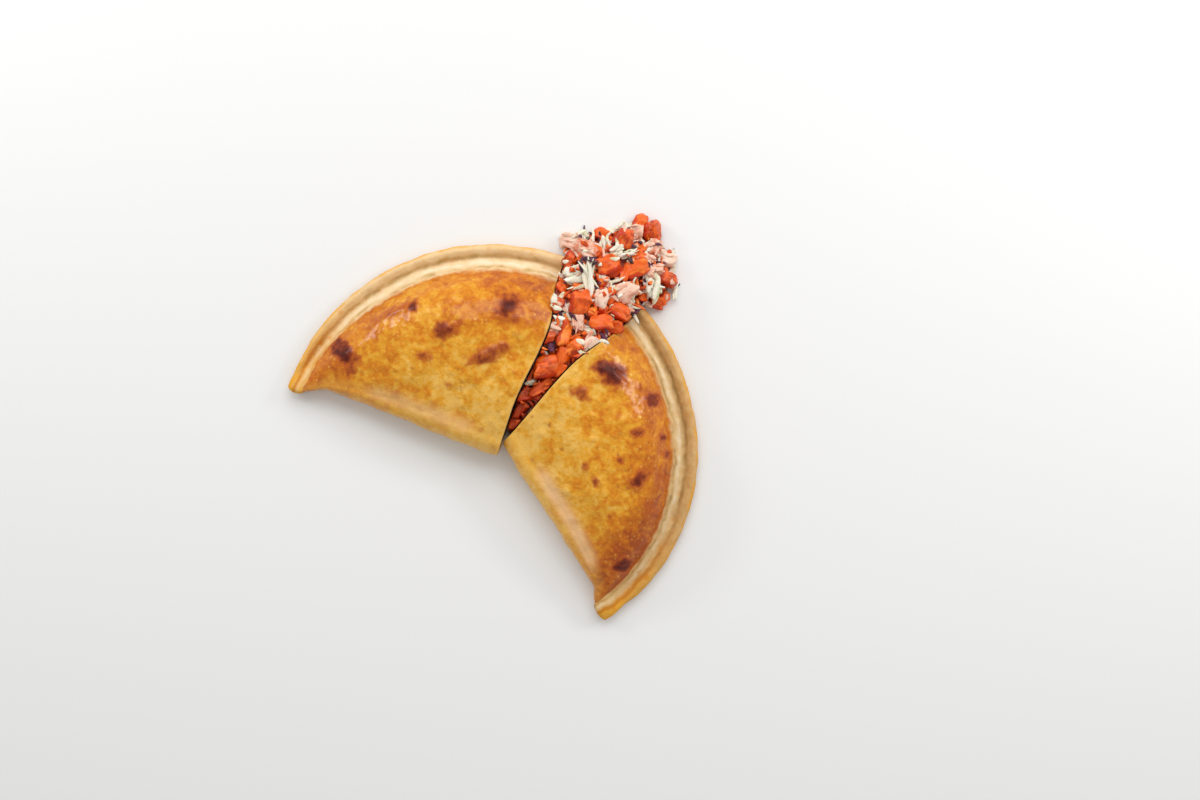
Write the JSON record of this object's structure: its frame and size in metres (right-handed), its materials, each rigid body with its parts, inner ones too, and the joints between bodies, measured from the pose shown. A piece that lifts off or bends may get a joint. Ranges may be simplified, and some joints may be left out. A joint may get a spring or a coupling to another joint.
{
  "type": "panzerotto",
  "caption": "Baked half-moon filled dough pocket, cut across the middle into two halves fanned open, with chopped tomato filling heaped in the wedge and spilling past the rims.",
  "frame": {"origin": "under the middle of the whole, at the level it rests on", "axes": "+Z up; seen from above with +Y up, the left half points to -X, the right half to -Y, and the filling spills towards +X and +Y"},
  "size_m": [0.263, 0.2607, 0.0393],
  "materials": {
    "crust": "egg-washed golden baked dough, paler at the rim",
    "filling": "moist chopped tomato filling",
    "heap": "moist chopped tomato and onion",
    "tomato": "wet cut tomato",
    "pink": "moist pale pink dice",
    "pale": "moist pale dice and shreds",
    "dark": "dark purple and green bits"
  },
  "bodies": {
    "root": {"crust_left": "crust", "crust_right": "crust", "filling_left": "filling", "filling_right": "filling", "filling_heap": "heap"}
  },
  "joints": []
}
